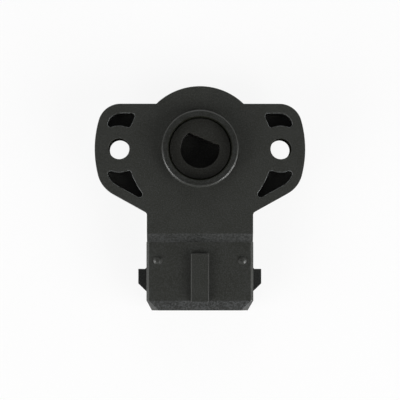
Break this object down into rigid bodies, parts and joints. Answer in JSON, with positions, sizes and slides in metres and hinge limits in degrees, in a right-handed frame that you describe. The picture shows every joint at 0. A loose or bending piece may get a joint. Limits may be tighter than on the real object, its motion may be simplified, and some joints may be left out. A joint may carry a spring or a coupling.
{
  "type": "throttle position sensor",
  "caption": "Rotary throttle position sensor: black moulded housing with a two-ear flange, locating collar, sprung D-socket rotor and a shrouded connector header.",
  "frame": {"origin": "on the rotor's axis, in the plane of the flange's front face", "axes": "+Z leaves the mounting face along the rotor's axis, towards the throttle body; the connector's mouth points along -Y; the two mounting holes lie on the X axis"},
  "size_m": [0.0494, 0.0528, 0.0194],
  "materials": {
    "housing_plastic": "glass-filled moulding, satin black",
    "cover_plastic": "glass-filled moulding, matt black",
    "sealant": "cured silicone, dull",
    "rotor_plastic": "moulded, matt black",
    "seal_rubber": "smooth nitrile rubber",
    "spring_wire": "bright drawn wire",
    "washer_steel": "stamped, bright",
    "contact_spring": "phosphor bronze strip",
    "contact_tip": "precious metal alloy, bright",
    "board_laminate": "glass and epoxy laminate",
    "carbon_print": "polished carbon print",
    "silver_print": "silver-filled print",
    "tinned_terminal": "tin-plated brass, satin",
    "solder": "bright solder",
    "potting_resin": "cured black epoxy"
  },
  "bodies": {
    "sensor_housing": {"housing": "housing_plastic", "rear_cover": "cover_plastic", "cover_seal": "sealant", "track_board": "board_laminate", "resistor_track": "carbon_print", "collector_track": "silver_print", "terminal_supply": "tinned_terminal", "terminal_signal": "tinned_terminal", "terminal_ground": "tinned_terminal", "solder_joint_1": "solder", "solder_joint_2": "solder", "solder_joint_3": "solder", "terminal_potting": "potting_resin", "thrust_washer": "washer_steel", "return_spring": "spring_wire"},
    "sensor_rotor": {"rotor": "rotor_plastic", "rotor_seal": "seal_rubber", "wiper_spring": "contact_spring", "wiper_brush_outer": "contact_tip", "wiper_brush_inner": "contact_tip"}
  },
  "joints": [
    {"name": "rotor_turn", "type": "hinge", "parent": "sensor_housing", "child": "sensor_rotor", "pos_m": [0, 0, 0], "axis": [0, 0, 1], "range_deg": [0, 95], "stiffness_Nm_per_rad": 0.01, "springref_deg": -28.65, "deforming": ["return_spring"]}
  ]
}
